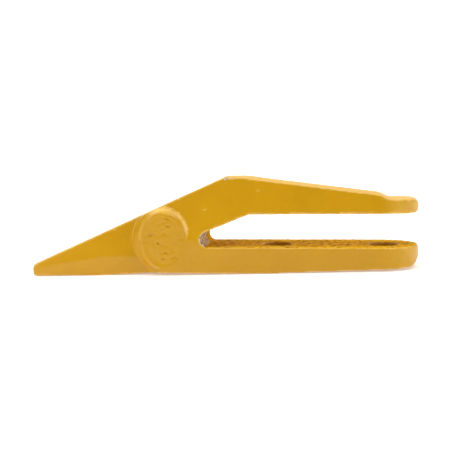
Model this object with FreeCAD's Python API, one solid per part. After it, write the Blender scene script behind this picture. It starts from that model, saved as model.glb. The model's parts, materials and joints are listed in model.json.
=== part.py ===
import FreeCAD, Part
import math
import os

# A forked bolt-on bucket tooth, forged in one piece: a chisel point, a throat with an oval side
# pad on each cheek, and two straps that hold the bucket lip between them. Two bolts pass up
# through the lower strap into the lip.
# Lengths are millimetres. The outline is drawn about the front bolt axis at the lower lip face,
# with the point towards -X and the lip faces level, and everything is moved at the end so that
# the origin is the middle of the base of the whole tooth.

# Slot for the bucket lip
lip_gap = 23.2
root_radius = 5.7
ramp_top_x = -19.2
ramp_angle = 21.4

# Two bolts in line, three inches apart, 20 mm or 3/4 inch
bolt_pitch = 76.2
bolt_hole_radius = 10.4

# Point, and the slight bend in its underside
tip_x = -181.4
tip_top_z = -14.2
tip_bottom_z = -22.6
under_bend_x, under_bend_z = -128.0, -21.7
tip_top_round = 1.4
tip_bottom_round = 1.4

# Back of the tooth: a short crest, then down to the level tab behind the rear bolt
crest_x, crest_z = -38.0, 49.3
crest_end_x, crest_end_z = -24.0, 49.3
crest_round = 3.0
crest_end_round = 18.0
back_end_x, back_end_z = 73.5, 36.5
tab_x, tab_z = 80.2, 33.3
step_round = 1.8

# Underside: almost level from the tip to a slight bend, up to the throat, level to the heel
throat_under_x = -76.0
heel_x, heel_z = 2.2, -18.5
heel_notch = 0.4
lower_tail_z = -14.3

# Rear ends
tail_x = 101.2
lower_end_radius = 24.3
upper_end_radius = 17.5
tail_under_round = 8.5
tail_floor_round = 2.0
tab_top_round = 4.6
tab_under_round = 3.2

# Half widths on the parting line of the forging, which is the widest line of each side
strap_half = 24.3
wedge_half = 18.8
tip_half = 17.4
upper_tail_half = 20.6        # the upper strap also narrows towards its rear end
upper_draft = math.tan(math.radians(12.0))
wedge_under_draft = math.tan(math.radians(4.0))

# The parting line: place along the tooth, height, half width, draft below the line. It follows
# the point up from the tip, climbs onto the throat where the cheeks widen, and stays level.
parting_z = 5.4
parting_line = [
    (tip_x, -16.8, tip_half, wedge_under_draft),
    (-130.2, -7.9, 18.3, wedge_under_draft),
    (-103.6, -7.1, wedge_half, wedge_under_draft),
    (-93.5, -6.0, wedge_half, wedge_under_draft),
    (-81.0, 0.5, strap_half, 0.0),
    (-73.0, 3.5, strap_half, 0.0),
    (-65.0, parting_z, strap_half, 0.0),
    (tail_x, parting_z, strap_half, 0.0),
]

# Side pads, each through three ovals: distance from the middle plane, then the oval's front,
# back, low and high edges
pad_x, pad_z = -83.0, 4.8
pad_foot = (9.0, -106.0, -56.0, -19.6, 28.8)
pad_shoulder = (18.0, -103.8, -57.5, -18.4, 28.0)
pad_face = (24.6, -96.2, -64.2, -15.2, 25.0)
pad_points = 24

# Where the forging is divided into its regions
point_back_x = -103.6
envelope_high, envelope_low = 60.0, -30.0
beyond = 60.0


def point(x, z):
    return FreeCAD.Vector(x, 0.0, z)


def outline(corners):
    """A closed flat outline in the XZ plane from corners (x, z, radius)."""
    turns = []
    count = len(corners)
    for i in range(count):
        x, z, radius = corners[i]
        here = point(x, z)
        before = point(*corners[i - 1][:2])
        after = point(*corners[(i + 1) % count][:2])
        to_before = (before - here).normalize()
        to_after = (after - here).normalize()
        if radius == 0:
            turns.append((here, None, here))
            continue
        half_turn = to_before.getAngle(to_after) / 2
        reach = radius / math.tan(half_turn)
        middle = (to_before + to_after).normalize()
        centre = here + middle * (radius / math.sin(half_turn))
        turns.append((here + to_before * reach, centre - middle * radius, here + to_after * reach))
    edges = []
    for i in range(count):
        start, through, end = turns[i]
        if through is not None:
            edges.append(Part.Arc(start, through, end).toShape())
        edges.append(Part.LineSegment(end, turns[(i + 1) % count][0]).toShape())
    return Part.Wire(edges)


def slab(wire, half_width=beyond / 2):
    """The outline as a solid from -half_width to +half_width across the tooth."""
    face = Part.Face(wire)
    face.translate(FreeCAD.Vector(0, -half_width, 0))
    return face.extrude(FreeCAD.Vector(0, 2 * half_width, 0))


def side_profile():
    """The side view with the slot still closed."""
    return outline([
        (tip_x, tip_bottom_z, tip_bottom_round),
        (tip_x, tip_top_z, tip_top_round),
        (crest_x, crest_z, crest_round),
        (crest_end_x, crest_end_z, crest_end_round),
        (back_end_x, back_end_z, step_round),
        (tab_x, tab_z, step_round),
        (tail_x, tab_z, tab_top_round),
        (tail_x, lower_tail_z, tail_under_round),
        (heel_x + heel_notch, heel_z + heel_notch, 0),
        (heel_x, heel_z, 0),
        (throat_under_x, heel_z, 0),
        (under_bend_x, under_bend_z, 0),
    ])


def drafted_envelope(line):
    """The plan shape with its drafted sides, taller than the tooth, along a parting line."""
    sections = []
    for x, line_z, half, under_draft in line:
        top = half - (envelope_high - line_z) * upper_draft
        low = half - (line_z - envelope_low) * under_draft
        ring = [(-top, envelope_high), (-half, line_z), (-low, envelope_low),
                (low, envelope_low), (half, line_z), (top, envelope_high)]
        corners = [FreeCAD.Vector(x, y, z) for y, z in ring]
        sections.append(Part.makePolygon(corners + corners[:1]))
    return Part.makeLoft(sections, True, True)


def slot_centre_x():
    """Axis of the slot's round root, which touches both the floor and the sloping roof."""
    angle = math.radians(ramp_angle)
    rise = lip_gap - root_radius - root_radius / math.cos(angle)
    return ramp_top_x - rise / math.tan(angle)


def slot_space():
    """Everything between the two lip faces, out past the rear ends."""
    angle = math.radians(ramp_angle)
    centre_x = slot_centre_x()
    floor_start = point(centre_x, 0)
    root_left = point(centre_x - root_radius, root_radius)
    roof_start = point(centre_x - root_radius * math.sin(angle), root_radius * (1 + math.cos(angle)))
    mouth_x = tail_x + beyond
    edges = [
        Part.Arc(floor_start, root_left, roof_start).toShape(),
        Part.LineSegment(roof_start, point(ramp_top_x, lip_gap)).toShape(),
        Part.LineSegment(point(ramp_top_x, lip_gap), point(mouth_x, lip_gap)).toShape(),
        Part.LineSegment(point(mouth_x, lip_gap), point(mouth_x, 0)).toShape(),
        Part.LineSegment(point(mouth_x, 0), floor_start).toShape(),
    ]
    return slab(Part.Wire(edges))


def region(x_low, x_high, z_low=envelope_low, z_high=envelope_high):
    corner = FreeCAD.Vector(x_low, -beyond / 2, z_low)
    return Part.makeBox(x_high - x_low, beyond, z_high - z_low, corner)


def round_end(end_radius, z_low, z_high):
    """Plan outline of a strap: a long bar with a round rear end."""
    middle_x = tail_x - end_radius
    bar = region(slot_centre_x() - beyond, middle_x, z_low, z_high)
    disc = Part.makeCylinder(end_radius, z_high - z_low, FreeCAD.Vector(middle_x, 0, z_low))
    return bar.fuse(disc.common(region(middle_x, tail_x, z_low, z_high)))


def mouth_profile(z_low, z_high, low_round, high_round):
    """A long bar in side view with the two corners of its rear end rounded."""
    return slab(outline([
        (slot_centre_x() - beyond, z_low, 0),
        (slot_centre_x() - beyond, z_high, 0),
        (tail_x, z_high, high_round),
        (tail_x, z_low, low_round),
    ]))


def bolt_hole(x):
    return Part.makeCylinder(bolt_hole_radius, -envelope_low, FreeCAD.Vector(x, 0, envelope_low))


def oval(side, ring):
    """A smooth closed curve through the front, back, low and high edges of a ring."""
    y, front, back, low, high = ring
    points = []
    for i in range(pad_points):
        turn = 2 * math.pi * i / pad_points
        reach_x = back - pad_x if math.cos(turn) > 0 else pad_x - front
        reach_z = high - pad_z if math.sin(turn) > 0 else pad_z - low
        points.append(FreeCAD.Vector(pad_x + reach_x * math.cos(turn), side * y,
                                     pad_z + reach_z * math.sin(turn)))
    curve = Part.BSplineCurve()
    curve.interpolate(Points=points, PeriodicFlag=True)
    return Part.Wire(curve.toShape())


def pad_boss(side):
    """A bevelled oval boss on one cheek; side is -1 or +1."""
    return Part.makeLoft([oval(side, ring) for ring in (pad_foot, pad_shoulder, pad_face)], True, True)


def build():
    forging = slab(side_profile()).common(drafted_envelope(parting_line)).cut(slot_space())
    root_x = slot_centre_x()
    upper_line = [(root_x, parting_z, strap_half, 0.0), (tail_x, parting_z, upper_tail_half, 0.0)]
    above_slot = forging.common(drafted_envelope(upper_line))
    parts = {}
    parts["tooth_point"] = forging.common(region(tip_x - beyond, point_back_x))
    parts["throat_block"] = forging.common(region(point_back_x, root_x))
    parts["strap_knee"] = above_slot.common(region(root_x, ramp_top_x, root_radius))

    upper = above_slot.common(region(ramp_top_x, tail_x, lip_gap))
    upper_plan = round_end(upper_end_radius, lip_gap, envelope_high)
    upper_ends = mouth_profile(lip_gap, envelope_high, tab_under_round, 0)
    parts["upper_strap"] = upper.common(upper_plan).common(upper_ends)

    lower = forging.common(region(root_x, tail_x, envelope_low, 0))
    lower_plan = round_end(lower_end_radius, envelope_low, 0)
    lower_ends = mouth_profile(envelope_low, 0, 0, tail_floor_round)
    lower = lower.common(lower_plan).common(lower_ends)
    parts["lower_strap"] = lower.cut(bolt_hole(0)).cut(bolt_hole(bolt_pitch))

    for name, side in (("side_pad_left", -1), ("side_pad_right", 1)):
        boss = pad_boss(side).common(slab(side_profile()))
        parts[name] = boss.cut(parts["throat_block"]).cut(parts["tooth_point"])
    return parts


def main():
    os.makedirs("parts", exist_ok=True)
    parts = build()
    whole = Part.makeCompound(list(parts.values())).optimalBoundingBox()
    to_base = FreeCAD.Vector(-whole.Center.x, 0, -whole.ZMin)
    print("front bolt axis and lower lip face lie at", to_base)
    for name, shape in parts.items():
        shape = shape.removeSplitter().Solids[0]
        shape.translate(to_base)
        shape.exportStep("parts/" + name + ".step")
        box = shape.optimalBoundingBox()
        print(name, shape.ShapeType, len(shape.Solids), "valid", shape.isValid(),
              "volume cm3 %.1f" % (shape.Volume / 1000),
              "box %.1f %.1f %.1f to %.1f %.1f %.1f" % (
                  box.XMin, box.YMin, box.ZMin, box.XMax, box.YMax, box.ZMax))


main()
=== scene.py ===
import json
import math
import random

import bmesh
import bpy
from mathutils import Matrix, Vector, noise


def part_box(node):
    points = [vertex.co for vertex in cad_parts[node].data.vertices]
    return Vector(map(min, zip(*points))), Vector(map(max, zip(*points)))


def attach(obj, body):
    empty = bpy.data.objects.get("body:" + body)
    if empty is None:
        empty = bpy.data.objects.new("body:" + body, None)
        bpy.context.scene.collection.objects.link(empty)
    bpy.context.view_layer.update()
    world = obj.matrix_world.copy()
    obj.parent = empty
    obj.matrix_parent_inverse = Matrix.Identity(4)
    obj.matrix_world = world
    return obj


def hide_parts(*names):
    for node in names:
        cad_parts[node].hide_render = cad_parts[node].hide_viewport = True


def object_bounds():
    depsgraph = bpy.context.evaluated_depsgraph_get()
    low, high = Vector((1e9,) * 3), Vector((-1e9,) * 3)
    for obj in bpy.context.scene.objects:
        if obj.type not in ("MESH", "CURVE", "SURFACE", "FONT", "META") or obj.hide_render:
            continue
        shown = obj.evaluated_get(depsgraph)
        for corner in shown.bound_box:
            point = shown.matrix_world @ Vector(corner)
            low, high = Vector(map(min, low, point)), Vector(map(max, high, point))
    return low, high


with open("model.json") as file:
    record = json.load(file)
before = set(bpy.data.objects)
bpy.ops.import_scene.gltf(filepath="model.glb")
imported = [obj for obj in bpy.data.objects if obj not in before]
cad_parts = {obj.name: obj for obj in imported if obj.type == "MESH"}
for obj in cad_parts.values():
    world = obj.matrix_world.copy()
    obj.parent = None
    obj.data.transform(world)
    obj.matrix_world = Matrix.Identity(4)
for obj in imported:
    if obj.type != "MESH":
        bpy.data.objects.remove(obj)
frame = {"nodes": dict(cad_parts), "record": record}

cadLow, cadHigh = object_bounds()
mm = 0.001
print("frame loaded", [round(v / mm, 1) for v in cadHigh - cadLow])

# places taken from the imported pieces
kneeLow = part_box("strap_knee")[0]
upperLow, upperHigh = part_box("upper_strap")
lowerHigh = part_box("lower_strap")[1]
padLow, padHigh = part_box("side_pad_left")
floorOfSlot = lowerHigh.z
roofOfSlot = upperLow.z
roofCorner = Vector((upperLow.x, 0, roofOfSlot))    # where the sloping roof becomes level
padMiddle = (padLow + padHigh) / 2
padHalf = -padLow.y                                 # from the middle plane to a pad's face

lipBolts = next(mount for mount in frame["record"]["mounts"] if mount["name"] == "lip_bolts")
boltMiddle = Vector(lipBolts["pos_m"])
boltStep = Vector((lipBolts["dims"]["spacing_x_mm"] / 2 * mm, 0, 0))
boltHole = lipBolts["dims"]["hole_r_mm"] * mm


def noiseAt(point, grain, layers=3, seed=0.0):
    where = Vector((point.x + seed, point.y + 2 * seed, point.z - seed)) / (grain * mm)
    return noise.fractal(where, 0.6, 2.0, layers)


def ramp(value, low, high):
    # 0 below low, 1 above high, smooth between
    share = min(max((value - low) / (high - low), 0.0), 1.0)
    return share * share * (3 - 2 * share)


def beyond(distance, band):
    # the same for a distance in metres and a band in mm
    return ramp(distance, band[0] * mm, band[1] * mm)


# the forged skin
forging = {
    "voxel": 0.86,              # mm
    "edgePasses": 2,            # each pass rounds the edges a little more
    "rubbedAndLitBend": (0.03, 0.16),     # how sharp an outer edge is before its enamel rubs thin and it gets a painted highlight
    "topLevel": (0.7, 0.95),        # how level the top faces are, which are duller and painted lighter
    "topDullAndLit": 0.5,
    "dullFrom": 0.6,                # above this a face gets the dull enamel
}

# depth and grain in mm, number of finer layers, seed
relief = {
    "swell": (0.16, 28, 2, 3.1),        # slow unevenness of a hammered surface
    "millScale": (0.05, 5, 3, 7.7),     # finer unevenness
    "slotRough": (0.13, 4.5, 4, 1.3),   # raw faces inside the slot
    "pits": (0.16, 6, 2, 9.4),          # sparse pits on the sides
    "padGrain": (0.07, 2.6, 2, 5.2),    # nearly level grain on the pads
}
pitRange = (0.42, 0.62)                 # only the peaks of the noise become pits


def reliefAt(point, kind):
    depth, grain, layers, seed = relief[kind]
    return depth * noiseAt(point, grain, layers, seed)


def pitAt(point):
    depth, grain, layers, seed = relief["pits"]
    return depth * ramp(noiseAt(point, grain, layers, seed), *pitRange)


def joinNodes(names):
    joined = bmesh.new()
    for name in names:
        joined.from_mesh(frame["nodes"][name].data)
    bmesh.ops.remove_doubles(joined, verts=joined.verts, dist=0.01 * mm)
    mesh = bpy.data.meshes.new("joinedNodes")
    joined.to_mesh(mesh)
    joined.free()
    return mesh


def meltTogether(mesh, voxel):
    lump = bpy.data.objects.new("lump", mesh)
    bpy.context.scene.collection.objects.link(lump)
    remesh = lump.modifiers.new("oneSkin", "REMESH")
    remesh.mode = "VOXEL"
    remesh.voxel_size = voxel * mm
    remesh.use_smooth_shade = True
    graph = bpy.context.evaluated_depsgraph_get()
    skin = bpy.data.meshes.new_from_object(lump.evaluated_get(graph))
    bpy.data.objects.remove(lump)
    return skin


def softenEdges(skin, passes):
    form = bmesh.new()
    form.from_mesh(skin)
    for _ in range(passes):
        bmesh.ops.smooth_vert(form, verts=form.verts, factor=0.5,
                              use_axis_x=True, use_axis_y=True, use_axis_z=True)
    return form


def convexAt(vert):
    # 1 on outer edges, 0 on flats and in hollows
    pull = sum(((edge.other_vert(vert).co - vert.co) for edge in vert.link_edges), Vector())
    bend = -pull.dot(vert.normal) / len(vert.link_edges) / (forging["voxel"] * mm)
    return ramp(bend, *forging["rubbedAndLitBend"])


# the slot for the bucket lip, with distances in mm
slotFace = {
    "start": (-8, -5),          # from the knee's front
    "turned": 0.5,              # faces turned further than this up or down
    "level": (0.8, 0.93),
    "floorBand": (1.5, 4),      # from the floor
    "roofFrom": 5,              # above the floor
}
slotRoot = {
    "at": (-6, 6),              # from the knee's front, and above the floor
    "facing": (0.2, 0.6),
    "start": (-2, -1),
    "end": (4, 8),
    "high": (6, 9),
    "across": (3, 7),           # the bare patch ends here, past the middle plane
    "ragged": 2,
    "raggedGrain": 6,
}
holeWall = {
    "steep": 0.7,
    "band": (0.3, 1),           # outside the bolt hole's radius
}


def insideSlot(vert):
    # 1 on the faces of the slot, 0 elsewhere
    started = beyond(vert.co.x - kneeLow.x, slotFace["start"])
    above = vert.co.z - floorOfSlot
    if vert.normal.z > slotFace["turned"]:
        onFloor = 1 - beyond(abs(above), slotFace["floorBand"])
        return started * onFloor * ramp(vert.normal.z, *slotFace["level"])
    if vert.normal.z < -slotFace["turned"] and above > slotFace["roofFrom"] * mm:
        return started * ramp(-vert.normal.z, *slotFace["level"])
    return 0.0


def onRoot(vert):
    # 1 on the round bottom of the slot
    away = vert.co.x - (kneeLow.x + slotRoot["at"][0] * mm)
    upward = abs(vert.co.z - (floorOfSlot + slotRoot["at"][1] * mm))
    facing = ramp(vert.normal.x, *slotRoot["facing"]) * beyond(away, slotRoot["start"])
    return facing * (1 - beyond(away, slotRoot["end"])) * (1 - beyond(upward, slotRoot["high"]))


def nearSide(vert):
    # 1 on the near side of a ragged line along the middle
    line = slotRoot["ragged"] * mm * noiseAt(vert.co, slotRoot["raggedGrain"], 2)
    return 1 - beyond(vert.co.y + line, slotRoot["across"])


def inHole(vert):
    # 1 on the walls of the two bolt holes, which get painted shade
    if abs(vert.normal.z) > holeWall["steep"] or vert.co.z > floorOfSlot:
        return 0.0
    centres = (boltMiddle - boltStep, boltMiddle + boltStep)
    nearest = min((vert.co - centre).xy.length for centre in centres)
    return 1 - beyond(nearest - boltHole, holeWall["band"])


# the oval pads
padFace = {
    "inset": 8.2,               # mm from the pad's front to its flat face
    "drop": 0.6,                # mm, the face's middle below the pad's
    "half": (15.8, 19.9),       # mm
    "sink": 0.35,               # mm, the face lies a little below its rim
    "edge": (0.88, 1.0),        # share of the face where it rises to the rim
    "turned": 0.8,
    "grainAlong": (0.4, 0.1),   # stretches the grain along the tooth
    "grainUp": (1.2, 0.3),
    # painted shade darkens a pad's dents from this depth
    "shadedFrom": (0.3, 0.8),    # mm deep
    "refineTurned": 0.9,
    "refineDeep": 1,            # mm
}
# painted highlight on the upper rear slope of a pad's rim
rimHighlight = {
    "cheekShare": 0.6,
    "turned": 0.97,
    "inner": (1.03, 1.09),      # share of the face's size
    "outer": (1.20, 1.26),
    "upper": (-1, 1),           # mm from the face's middle
    "rear": (-14, -2),
    "frontShare": 0.35,
}
scarring = {
    "count": 10,                # on each pad
    "seed": 11,
    "within": 0.84,             # share of the face
    "apart": (7, 4),            # mm, along and up
    "slant": (8, 10),           # degrees, middle and spread
    "length": (0.8, 4.4),       # mm, half length
    "width": (0.5, 0.9),
    "height": (0.35, 0.9),
    "sway": (0.15, 1.7),        # mm, and turns per mm
    "fade": 4,                  # where a scar has died away
}
faceMiddle = Vector((padLow.x + (padFace["inset"] + padFace["half"][0]) * mm, 0,
                     padMiddle.z - padFace["drop"] * mm))


def padReach(point):
    # 0 in the middle of a pad, 1 at the edge of its flat face
    across = (point.x - faceMiddle.x) / (padFace["half"][0] * mm)
    upward = (point.z - faceMiddle.z) / (padFace["half"][1] * mm)
    return math.hypot(across, upward)


def paintedRimHighlight(vert):
    # 1 on the outer slope of a pad's rim, above the parting line and most towards the rear, where
    # a highlight is painted
    if abs(vert.co.y) < rimHighlight["cheekShare"] * padHalf or abs(vert.normal.y) > rimHighlight["turned"]:
        return 0.0
    reach = padReach(vert.co)
    band = ramp(reach, *rimHighlight["inner"]) * (1 - ramp(reach, *rimHighlight["outer"]))
    upper = beyond(vert.co.z - faceMiddle.z, rimHighlight["upper"])
    rear = beyond(vert.co.x - faceMiddle.x, rimHighlight["rear"])
    return band * upper * (rimHighlight["frontShare"] + (1 - rimHighlight["frontShare"]) * rear)


def makeScars():
    # short, nearly level dents and ridges, scattered without order and kept apart
    rng = random.Random(scarring["seed"])
    halfAlong, halfUp = (half * mm for half in padFace["half"])
    gapAlong, gapUp = scarring["apart"]
    scars = []
    for side in (-1, 1):
        taken = []
        while len(taken) < scarring["count"]:
            turn = rng.uniform(0, 2 * math.pi)
            far = math.sqrt(rng.random()) * scarring["within"]
            place = Vector((faceMiddle.x + halfAlong * far * math.cos(turn), side,
                            faceMiddle.z + halfUp * far * math.sin(turn)))
            if any(math.hypot((place.x - other.x) / gapAlong, (place.z - other.z) / gapUp) < mm
                   for other in taken):
                continue
            taken.append(place)
            slant = math.radians(rng.gauss(*scarring["slant"]))
            length, width = rng.uniform(*scarring["length"]), rng.uniform(*scarring["width"])
            height = rng.choice((-1, 1)) * rng.uniform(*scarring["height"])
            scars.append((place, slant, length, width, height))
    return scars


def alongAndOff(dx, dz, slant):
    # distances along a slanting line and square to it
    return dx * math.cos(slant) + dz * math.sin(slant), dz * math.cos(slant) - dx * math.sin(slant)


def scarAt(vert, scars):
    total = 0.0
    sway, swayTurns = scarring["sway"]
    for place, slant, length, width, height in scars:
        if place.y * vert.co.y < 0:
            continue
        dx, dz = (vert.co.x - place.x) / mm, (vert.co.z - place.z) / mm
        along, off = alongAndOff(dx, dz, slant)
        if abs(along) > length * 1.5:
            continue
        off += sway * math.sin(along * swayTurns + place.x / mm)
        reach = (along / length) ** 2 + (off / width) ** 2
        if reach < scarring["fade"]:
            total += height * math.exp(-reach)
    return total


def wornFace(vert, scars):
    # how far a pad's face moves outwards in mm, and how much painted shade darkens its dents
    reach = padReach(vert.co)
    if abs(vert.normal.y) <= padFace["turned"] or reach >= 1:
        return 0.0, 0.0
    face = 1 - ramp(reach, *padFace["edge"])
    alongX, alongZ = padFace["grainAlong"]
    upZ, upX = padFace["grainUp"]
    level = Vector((vert.co.x * alongX + vert.co.z * alongZ, 0, vert.co.z * upZ - vert.co.x * upX))
    worn = scarAt(vert, scars) + reliefAt(level, "padGrain")
    return face * (worn - padFace["sink"]), face * ramp(-worn, *padFace["shadedFrom"])


def refinePads(form):
    # a finer mesh where the pads carry their scars
    faces = []
    for face in form.faces:
        middle = face.calc_center_median()
        outermost = abs(middle.y) > padHalf - padFace["refineDeep"] * mm
        if abs(face.normal.y) > padFace["refineTurned"] and outermost and padReach(middle) < 1:
            faces.append(face)
    edges = {edge for face in faces for edge in face.edges}
    bmesh.ops.subdivide_edges(form, edges=list(edges), cuts=1, use_grid_fill=True)


# chips through to the steel: place in mm from the roof's corner, radius and depth in mm
chips = [
    {"at": (-16.2, -14.8, 26.4), "radius": 2.5, "depth": 0.30},
    {"at": (-11.8, -14.6, 26.5), "radius": 2.1, "depth": 0.25},
    {"at": (97.0, 10.0, 10.6), "radius": 3.4, "depth": 0.5},
    {"at": (93.5, 12.5, 12.4), "radius": 2.4, "depth": 0.4},
]
chipEdge = {"ragged": 0.5, "grain": 3, "band": (0.5, 1.0)}

# light scratches: side, place along and up in mm from the roof's corner, half length, slant
scuffs = [
    (-1, -99.8, -11.2, 3.0, 16),
    (-1, -31.8, 3.8, 2.4, 8),
    (-1, 6.7, 16.8, 2.6, -4),
    (1, -20.0, 9.5, 3.2, 12),
    (1, 60.0, 8.0, 2.2, -7),
]
scuffing = {"cheek": 8, "halfWidth": 0.7, "share": 0.6}

# painted light: the enamel is painted a little paler towards the rear ends: share, and band in mm
# from the end
rearLight = {
    "upper": (0.32, (-27, -12)),
    "lower": (0.2, (-16, -5)),
}


def chipAt(vert):
    deepest, cover = 0.0, 0.0
    for chip in chips:
        gap = (vert.co - roofCorner - Vector(chip["at"]) * mm).length / (chip["radius"] * mm)
        gap += chipEdge["ragged"] * noiseAt(vert.co, chipEdge["grain"], 2)
        hit = 1 - ramp(gap, *chipEdge["band"])
        deepest = max(deepest, hit * chip["depth"])
        cover = max(cover, hit)
    return deepest, cover


def scuffAt(vert):
    # more than 0 on a few light scratches in the sides
    for side, x, z, length, slant in scuffs:
        if side * vert.co.y < scuffing["cheek"] * mm:
            continue
        dx, dz = (vert.co.x - roofCorner.x) / mm - x, (vert.co.z - roofCorner.z) / mm - z
        along, off = alongAndOff(dx, dz, math.radians(slant))
        if abs(along) < length and abs(off) < scuffing["halfWidth"]:
            return scuffing["share"] * (1 - abs(along) / length)
    return 0.0


def rearEndLight(vert):
    # painted light towards the rear ends
    upper = vert.co.z > roofOfSlot
    share, band = rearLight["upper" if upper else "lower"]
    return share * beyond(vert.co.x - (upperHigh.x if upper else lowerHigh.x), band)


def forgeSurface(form):
    form.normal_update()
    bare = form.verts.layers.float.new("bareSteel")
    rawAndLit = form.verts.layers.float.new("rawAndLitFace")
    paintedShade = form.verts.layers.float.new("paintedShadeInHollows")
    rubbedAndLit = form.verts.layers.float.new("rubbedAndLitEdge")
    scars = makeScars()
    moves = []
    for vert in form.verts:
        slot, root = insideSlot(vert), onRoot(vert)
        dent, cover = chipAt(vert)
        worn, darkening = wornFace(vert, scars)
        move = reliefAt(vert.co, "swell") + reliefAt(vert.co, "millScale")
        move += max(slot, root) * reliefAt(vert.co, "slotRough")
        move += worn - pitAt(vert.co) * (1 - slot) - dent
        # painted shade in the pads' dents and on the bolt holes' walls
        vert[paintedShade] = max(darkening, inHole(vert))
        vert[bare] = max(root * nearSide(vert), cover)
        # rubbed edges and scratches, and painted highlights on outer edges, the pads' upper rims
        # and the rear ends
        vert[rubbedAndLit] = max(convexAt(vert), scuffAt(vert), paintedRimHighlight(vert), rearEndLight(vert) * (1 - slot))
        # top faces are duller, and painted lighter like the slot
        topFace = forging["topDullAndLit"] * ramp(vert.normal.z, *forging["topLevel"])
        vert[rawAndLit] = max(slot, root, topFace)
        moves.append(vert.normal * (move * mm))
    for vert, step in zip(form.verts, moves):
        vert.co += step
        for axis in range(3):
            vert.co[axis] = min(max(vert.co[axis], cadLow[axis]), cadHigh[axis])


def makeTooth():
    names = ["tooth_point", "throat_block", "strap_knee", "upper_strap", "lower_strap",
             "side_pad_left", "side_pad_right"]
    skin = meltTogether(joinNodes(names), forging["voxel"])
    form = softenEdges(skin, forging["edgePasses"])
    refinePads(form)
    forgeSurface(form)
    form.to_mesh(skin)
    form.free()
    skin.name = "forgedTooth"
    rawAndLit = skin.attributes["rawAndLitFace"].data
    for face in skin.polygons:
        face.use_smooth = True
        rawest = max(rawAndLit[corner].value for corner in face.vertices)
        face.material_index = int(rawest > forging["dullFrom"])
    tooth = bpy.data.objects.new("forgedTooth", skin)
    bpy.context.scene.collection.objects.link(tooth)
    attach(tooth, "root")
    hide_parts(*names)
    triangles = sum(len(face.vertices) - 2 for face in skin.polygons)
    print("tooth", len(skin.vertices), "points", triangles, "triangles")
    return tooth


# golden enamel over forged steel
enamel = {
    "gold": (0.60, 0.308, 0.004, 1),
    "deepGold": (0.56, 0.280, 0.004, 1),
    # painted light: a lighter gold for the slot, which the upper strap shades, and half of it for
    # the top faces
    "paintedLightGold": (0.84, 0.48, 0.008, 1),
    # grime in the slot, and painted shade in the pads' dents and in the bolt holes
    "grimeAndShade": (0.24, 0.095, 0.003, 1),
    # rubbed thin enamel, and painted highlight
    "rubbedAndLit": (0.92, 0.60, 0.17, 1),
    "steel": (0.86, 0.66, 0.44, 1),
    "steelDark": (0.16, 0.10, 0.05, 1),
    "roughness": (0.28, 0.85),      # on the sides, and on the raw faces
    "gloss": 0.34,
    "rawGloss": 0.03,
    "grimyFrom": (0.55, 0.95),      # how raw a face is before it holds grime
    "dentShade": 0.45,
    "rubbingAndLight": (0.30, 0.90),        # least and most share of the rubbed and lit colour on such an edge
    "bareFrom": (0.95, 1.15),       # share of bare steel and its ragged edge together
    "fineHeight": 0.4,
    "bump": (0.22, 0.0005),         # strength, and height in metres
}

# scale per metre, detail, roughness, and the part of the noise's range that is spread out
patterns = {
    "drift": (30, 3, 0.6, (0.35, 0.65)),
    "mottle": (300, 4, 0.65, (0.48, 0.66)),
    "broken": (160, 3, 0.6, (0.35, 0.65)),
    "speckle": (420, 5, 0.8, (0.46, 0.58)),
    "chipEdge": (500, 4, 0.6, None),
    "peel": (420, 4, 0.6, None),
    "fine": (1300, 3, 0.6, None),
}


def addNode(tree, kind, place):
    made = tree.nodes.new(kind)
    made.location = place
    return made


def attribute(tree, name, place):
    made = addNode(tree, "ShaderNodeAttribute", place)
    made.attribute_name = name
    return made.outputs["Fac"]


def spread(tree, value, low, high, place, to=(0, 1)):
    made = addNode(tree, "ShaderNodeMapRange", place)
    made.inputs["From Min"].default_value = low
    made.inputs["From Max"].default_value = high
    made.inputs["To Min"].default_value, made.inputs["To Max"].default_value = to
    tree.links.new(value, made.inputs["Value"])
    return made.outputs["Result"]


def pattern(tree, coords, name, place, to=(0, 1)):
    scale, detail, roughness, used = patterns[name]
    made = addNode(tree, "ShaderNodeTexNoise", place)
    made.inputs["Scale"].default_value = scale
    made.inputs["Detail"].default_value = detail
    made.inputs["Roughness"].default_value = roughness
    tree.links.new(coords, made.inputs["Vector"])
    if used is None:
        return made.outputs["Fac"]
    return spread(tree, made.outputs["Fac"], *used, (place[0] + 200, place[1]), to)


def mixColour(tree, share, first, second, place):
    made = addNode(tree, "ShaderNodeMix", place)
    made.data_type = "RGBA"
    for socket, value in ((made.inputs[6], first), (made.inputs[7], second)):
        if isinstance(value, tuple):
            socket.default_value = value
        else:
            tree.links.new(value, socket)
    tree.links.new(share, made.inputs[0])
    return made.outputs[2]


def combine(tree, operation, first, second, place):
    made = addNode(tree, "ShaderNodeMath", place)
    made.operation = operation
    for socket, value in zip(made.inputs, (first, second)):
        if isinstance(value, (int, float)):
            socket.default_value = value
        else:
            tree.links.new(value, socket)
    return made.outputs[0]


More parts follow.
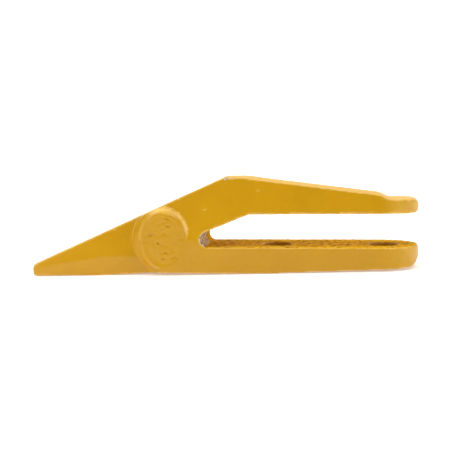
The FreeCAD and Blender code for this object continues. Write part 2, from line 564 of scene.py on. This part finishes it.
def enamelMaterial(name, gloss):
    made = bpy.data.materials.new(name)
    made.use_nodes = True
    tree = made.node_tree
    shader = tree.nodes["Principled BSDF"]
    coords = addNode(tree, "ShaderNodeTexCoord", (-1600, 0)).outputs["Object"]
    bare = attribute(tree, "bareSteel", (-1600, -300))
    rawAndLit = attribute(tree, "rawAndLitFace", (-1600, -500))
    paintedShade = attribute(tree, "paintedShadeInHollows", (-1600, -700))
    rubbedAndLit = attribute(tree, "rubbedAndLitEdge", (-1600, 500))

    # paint that drifts between two golds, and is duller on raw faces; raw faces and top faces also
    # get a lighter gold, a painted light
    drift = pattern(tree, coords, "drift", (-1200, 300))
    colour = mixColour(tree, drift, enamel["gold"], enamel["deepGold"], (-800, 300))
    # painted light: lighter gold in the slot and on the top faces
    colour = mixColour(tree, rawAndLit, colour, enamel["paintedLightGold"], (-600, 300))

    # grime in the slot, and painted shade in the pads' dents and in the bolt holes
    mottle = pattern(tree, coords, "mottle", (-1200, 0))
    inSlot = spread(tree, rawAndLit, *enamel["grimyFrom"], (-1000, -150))
    darkening = combine(tree, "MULTIPLY", mottle, inSlot, (-800, 0))
    dentShade = combine(tree, "MULTIPLY", paintedShade, enamel["dentShade"], (-1000, -250))
    darkening = combine(tree, "MAXIMUM", darkening, dentShade, (-700, 0))
    colour = mixColour(tree, darkening, colour, enamel["grimeAndShade"], (-500, 200))

    # thin enamel on rubbed edges and scratches, and painted highlights on outer edges, the pads'
    # upper rims and the rear ends
    broken = pattern(tree, coords, "broken", (-1200, 500), enamel["rubbingAndLight"])
    rubAndLight = combine(tree, "MULTIPLY", rubbedAndLit, broken, (-800, 500))
    colour = mixColour(tree, rubAndLight, colour, enamel["rubbedAndLit"], (-400, 300))

    # speckled steel where the enamel is gone
    speckle = pattern(tree, coords, "speckle", (-1200, -700))
    steel = mixColour(tree, speckle, enamel["steel"], enamel["steelDark"], (-800, -700))
    edge = pattern(tree, coords, "chipEdge", (-1200, -900))
    worn = combine(tree, "ADD", bare, edge, (-1000, -900))
    worn = spread(tree, worn, *enamel["bareFrom"], (-800, -900))
    colour = mixColour(tree, worn, colour, steel, (-300, 100))
    tree.links.new(colour, shader.inputs["Base Color"])

    dull = spread(tree, rawAndLit, 0, 1, (-300, -300), enamel["roughness"])
    tree.links.new(dull, shader.inputs["Roughness"])
    shader.inputs["Specular IOR Level"].default_value = gloss

    peel = pattern(tree, coords, "peel", (-1200, -1200))
    fine = pattern(tree, coords, "fine", (-1200, -1400))
    fine = combine(tree, "MULTIPLY", fine, enamel["fineHeight"], (-1000, -1400))
    height = combine(tree, "ADD", peel, fine, (-800, -1200))
    bump = addNode(tree, "ShaderNodeBump", (-300, -600))
    bump.inputs["Strength"].default_value, bump.inputs["Distance"].default_value = enamel["bump"]
    tree.links.new(height, bump.inputs["Height"])
    tree.links.new(bump.outputs["Normal"], shader.inputs["Normal"])
    return made


tooth = makeTooth()
tooth.data.materials.append(enamelMaterial("goldenEnamel", enamel["gloss"]))
tooth.data.materials.append(enamelMaterial("dullEnamel", enamel["rawGloss"]))
print("enamel done")


# pale floor that sweeps up behind, in metres
paper = {
    "half": 3.0,
    "far": 1.6,                 # where it starts to sweep up
    "bend": 0.8,                # radius of the sweep
    "steps": 12,
    "rise": 2.5,
    "tilt": 1.41,               # degrees: the tooth rests on its underside's bend and its heel
    "restAt": (-87.9, 0.88),    # mm, place of that bend
    "white": (0.9, 0.9, 0.9, 1),
    "roughness": 0.8,
    "glow": (0.31, 0.95),       # near and far
    "glowFrom": (0.25, 1.4),
}

# place, target, width and depth in metres, and watts
lights = {
    "overheadSoftbox": ((0.0, 0.0, 1.3), (0, 0, 0), (1.6, 1.0), 16.6),
    "rightSoftbox": ((1.2, -0.45, 0.35), (0, 0, 0.03), (0.36, 0.36), 4.2),
    "leftFill": ((-0.72, -0.48, 0.36), (-0.08, 0, 0.03), (0.36, 0.36), 2.2),
    "tipSoftbox": ((-0.38, -0.3, 0.46), (-0.12, 0, 0.02), (0.25, 0.25), 0.5),
    "rightFill": ((0.8, -0.9, 0.48), (0, 0, 0.03), (0.5, 0.5), 1.2),
}

room = {"light": 0.06, "seen": 0.9}     # dim as a light, pale to look at


def extrudeBack(form, edges, shift):
    made = bmesh.ops.extrude_edge_only(form, edges=edges)["geom"]
    moved = [part for part in made if isinstance(part, bmesh.types.BMVert)]
    bmesh.ops.translate(form, verts=moved, vec=shift)
    return [part for part in made if isinstance(part, bmesh.types.BMEdge)]


def paperMaterial():
    made = bpy.data.materials.new("palePaper")
    made.use_nodes = True
    tree = made.node_tree
    shader = tree.nodes["Principled BSDF"]
    shader.inputs["Base Color"].default_value = paper["white"]
    shader.inputs["Roughness"].default_value = paper["roughness"]
    shader.inputs["Emission Color"].default_value = (1, 1, 1, 1)
    coords = addNode(tree, "ShaderNodeTexCoord", (-700, -200)).outputs["Object"]
    split = addNode(tree, "ShaderNodeSeparateXYZ", (-500, -200))
    tree.links.new(coords, split.inputs["Vector"])
    glow = spread(tree, split.outputs["Y"], *paper["glowFrom"], (-300, -200), paper["glow"])
    tree.links.new(glow, shader.inputs["Emission Strength"])
    return made


def makeFloor():
    form = bmesh.new()
    half, far = paper["half"], paper["far"]
    corners = [(-half, -half), (half, -half), (half, far), (-half, far)]
    form.faces.new([form.verts.new((x, y, 0)) for x, y in corners])
    back = [edge for edge in form.edges if all(vert.co.y > 1 for vert in edge.verts)]
    stepTurn = math.radians(90) / paper["steps"]
    for step in range(paper["steps"]):
        turn = stepTurn * (step + 0.5)
        length = paper["bend"] * stepTurn
        shift = Vector((0, math.cos(turn) * length, math.sin(turn) * length))
        back = extrudeBack(form, back, shift)
    extrudeBack(form, back, Vector((0, 0, paper["rise"])))
    restX, restZ = (place * mm for place in paper["restAt"])
    tilt = Matrix.Rotation(math.radians(-paper["tilt"]), 4, "Y")
    tilt = Matrix.Translation((restX, 0, restZ)) @ tilt @ Matrix.Translation((-restX, 0, 0))
    bmesh.ops.transform(form, matrix=tilt, verts=form.verts)
    mesh = bpy.data.meshes.new("paleFloor")
    form.to_mesh(mesh)
    form.free()
    for face in mesh.polygons:
        face.use_smooth = True
    mesh.materials.append(paperMaterial())
    floor = bpy.data.objects.new("paleFloor", mesh)
    bpy.context.scene.collection.objects.link(floor)


def makeLight(name, place, target, size, watts):
    data = bpy.data.lights.new(name, "AREA")
    data.shape = "RECTANGLE"
    data.size, data.size_y = size
    data.energy = watts
    lamp = bpy.data.objects.new(name, data)
    lamp.location = place
    lamp.rotation_euler = (Vector(target) - Vector(place)).to_track_quat("-Z", "Y").to_euler()
    bpy.context.scene.collection.objects.link(lamp)


def makeRoom():
    world = bpy.data.worlds.new("softRoom")
    world.use_nodes = True
    tree = world.node_tree
    background = tree.nodes["Background"]
    background.inputs["Color"].default_value = (1, 1, 1, 1)
    seen = addNode(tree, "ShaderNodeLightPath", (-400, 0)).outputs["Is Camera Ray"]
    strength = spread(tree, seen, 0, 1, (-200, 0), (room["light"], room["seen"]))
    tree.links.new(strength, background.inputs["Strength"])
    bpy.context.scene.world = world


makeFloor()
for lightName, settings in lights.items():
    makeLight(lightName, *settings)
makeRoom()
bpy.context.scene.view_settings.view_transform = "Standard"

eye = {
    "place": (98.1, -689.1, 116.7),     # mm
    "turn": 8.0,                        # degrees
    "down": 6.6,
    "roll": -0.97,
    "lens": 76.0,                       # mm
    "sensor": 36,
}
lens = bpy.data.cameras.new("eye")
lens.lens = eye["lens"]
lens.sensor_width = eye["sensor"]
camera = bpy.data.objects.new("eye", lens)
aim = Matrix.Rotation(math.radians(eye["turn"]), 4, "Z")
aim = aim @ Matrix.Rotation(math.radians(90 - eye["down"]), 4, "X")
aim = aim @ Matrix.Rotation(math.radians(eye["roll"]), 4, "Z")
camera.matrix_world = Matrix.Translation(Vector(eye["place"]) * mm) @ aim
bpy.context.scene.collection.objects.link(camera)
bpy.context.scene.camera = camera
print("studio done")
